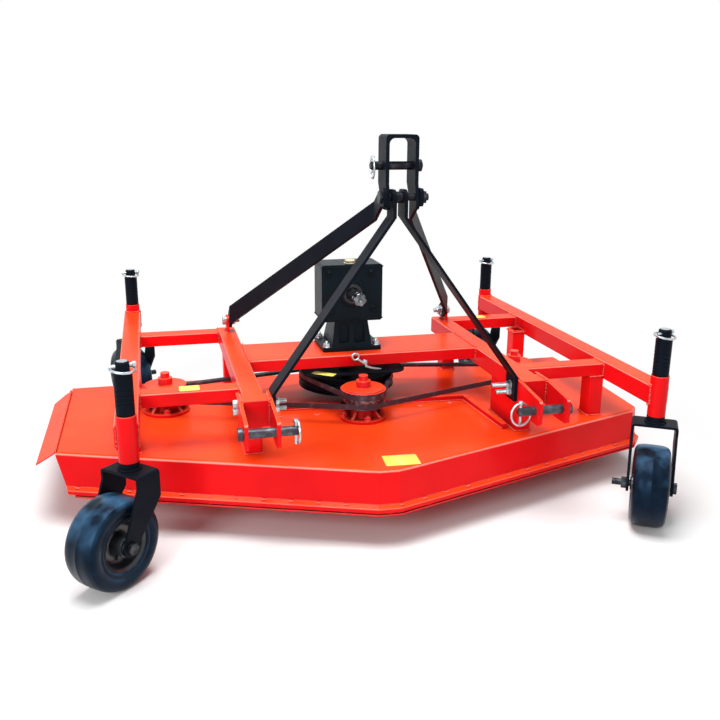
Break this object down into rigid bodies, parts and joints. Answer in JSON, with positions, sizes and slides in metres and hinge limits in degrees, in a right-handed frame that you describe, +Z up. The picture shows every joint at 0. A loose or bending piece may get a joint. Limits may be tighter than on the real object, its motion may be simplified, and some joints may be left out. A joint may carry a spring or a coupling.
{
  "type": "rotary mower for a tractor three-point hitch",
  "caption": "Towed finishing mower: red side-discharge deck under a tube frame with swivel casters, black mast, gearbox, belts and rotor blades.",
  "frame": {"origin": "on the ground, in the middle of the machine's box in x and y", "axes": "+X to the right seen from the tractor side, +Y from the hitch rearwards, +Z up"},
  "size_m": [1.604, 1.4131, 0.9185],
  "materials": {
    "red_enamel": "gloss enamel",
    "black_paint": "satin",
    "belt_rubber": "matt",
    "tyre_rubber": "smooth",
    "zinc": "zinc plated",
    "steel": "bright",
    "blade_steel": "dark"
  },
  "bodies": {
    "frame": {"deck_shell": "red_enamel", "deck_edge_strip": "red_enamel", "deck_rib": "red_enamel", "discharge_deflector": "red_enamel", "side_frame_left": "red_enamel", "side_frame_right": "red_enamel", "inner_beam_left": "red_enamel", "inner_beam_right": "red_enamel", "hitch_pin_left": "zinc", "hitch_pin_right": "zinc", "gearbox_bridge": "red_enamel", "front_strap_left": "black_paint", "front_strap_right": "black_paint", "rear_brace_left": "black_paint", "rear_brace_right": "black_paint", "mast_bolt": "zinc", "gearbox_housing": "black_paint", "drive_belt": "belt_rubber", "side_belt": "belt_rubber", "belt_guard": "black_paint", "spindle_housing_centre": "red_enamel", "spindle_housing_left": "red_enamel", "spindle_housing_right": "red_enamel"},
    "top_link": {"top_link_bracket": "black_paint", "top_link_pin": "zinc"},
    "input": {"input_shaft": "steel"},
    "drive": {"drive_pulley": "black_paint"},
    "rotor_centre": {"spindle_pulley_centre": "red_enamel", "blade_centre": "blade_steel"},
    "rotor_left": {"spindle_pulley_left": "red_enamel", "blade_left": "blade_steel"},
    "rotor_right": {"spindle_pulley_right": "red_enamel", "blade_right": "blade_steel"},
    "caster_front_left": {"caster_fork_front_left": "black_paint", "caster_spacer_front_left": "black_paint", "caster_axle_front_left": "zinc"},
    "wheel_front_left": {"caster_rim_front_left": "black_paint", "caster_tyre_front_left": "tyre_rubber"},
    "caster_front_right": {"caster_fork_front_right": "black_paint", "caster_spacer_front_right": "black_paint", "caster_axle_front_right": "zinc"},
    "wheel_front_right": {"caster_rim_front_right": "black_paint", "caster_tyre_front_right": "tyre_rubber"},
    "caster_rear_left": {"caster_fork_rear_left": "black_paint", "caster_spacer_rear_left": "black_paint", "caster_axle_rear_left": "zinc"},
    "wheel_rear_left": {"caster_rim_rear_left": "black_paint", "caster_tyre_rear_left": "tyre_rubber"},
    "caster_rear_right": {"caster_fork_rear_right": "black_paint", "caster_spacer_rear_right": "black_paint", "caster_axle_rear_right": "zinc"},
    "wheel_rear_right": {"caster_rim_rear_right": "black_paint", "caster_tyre_rear_right": "tyre_rubber"}
  },
  "joints": [
    {"name": "top_link_swing", "type": "hinge", "parent": "frame", "child": "top_link", "pos_m": [0.043, -0.42444, 0.7825], "axis": [1, 0, 0], "range_deg": [-25, 25]},
    {"name": "input_turn", "type": "hinge", "parent": "frame", "child": "input", "pos_m": [0.013, -0.08744, 0.4975], "axis": [0, 1, 0], "continuous": true},
    {"name": "drive_turn", "type": "hinge", "parent": "frame", "child": "drive", "pos_m": [0.013, -0.01444, 0.2595], "axis": [0, 0, 1], "continuous": true},
    {"name": "rotor_centre_turn", "type": "hinge", "parent": "frame", "child": "rotor_centre", "pos_m": [0.013, -0.21444, 0.1935], "axis": [0, 0, 1], "continuous": true},
    {"name": "rotor_left_turn", "type": "hinge", "parent": "frame", "child": "rotor_left", "pos_m": [-0.492, -0.04444, 0.1935], "axis": [0, 0, 1], "continuous": true},
    {"name": "rotor_right_turn", "type": "hinge", "parent": "frame", "child": "rotor_right", "pos_m": [0.518, -0.04444, 0.1935], "axis": [0, 0, 1], "continuous": true},
    {"name": "caster_front_left_swivel", "type": "hinge", "parent": "frame", "child": "caster_front_left", "pos_m": [-0.578, -0.55444, 0.3115], "axis": [0, 0, 1], "continuous": true},
    {"name": "wheel_front_left_roll", "type": "hinge", "parent": "caster_front_left", "child": "wheel_front_left", "pos_m": [-0.62043, -0.59687, 0.1], "axis": [-0.7071, 0.7071, 0], "continuous": true},
    {"name": "caster_front_right_swivel", "type": "hinge", "parent": "frame", "child": "caster_front_right", "pos_m": [0.664, -0.55444, 0.3115], "axis": [0, 0, 1], "continuous": true},
    {"name": "wheel_front_right_roll", "type": "hinge", "parent": "caster_front_right", "child": "wheel_front_right", "pos_m": [0.63221, -0.60533, 0.1], "axis": [-0.848, 0.5299, 0], "continuous": true},
    {"name": "caster_rear_left_swivel", "type": "hinge", "parent": "frame", "child": "caster_rear_left", "pos_m": [-0.578, 0.54656, 0.3115], "axis": [0, 0, 1], "continuous": true},
    {"name": "wheel_rear_left_roll", "type": "hinge", "parent": "caster_rear_left", "child": "wheel_rear_left", "pos_m": [-0.60048, 0.60219, 0.1], "axis": [0.9272, 0.3746, 0], "continuous": true},
    {"name": "caster_rear_right_swivel", "type": "hinge", "parent": "frame", "child": "caster_rear_right", "pos_m": [0.664, 0.54656, 0.3115], "axis": [0, 0, 1], "continuous": true},
    {"name": "wheel_rear_right_roll", "type": "hinge", "parent": "caster_rear_right", "child": "wheel_rear_right", "pos_m": [0.664, 0.60656, 0.1], "axis": [1, 0, 0], "continuous": true}
  ],
  "couplings": [
    {"joint": "drive_turn", "follows": "input_turn", "ratio": 1.93},
    {"joint": "rotor_centre_turn", "follows": "input_turn", "ratio": 4.5714},
    {"joint": "rotor_left_turn", "follows": "input_turn", "ratio": 4.5714},
    {"joint": "rotor_right_turn", "follows": "input_turn", "ratio": 4.5714}
  ]
}
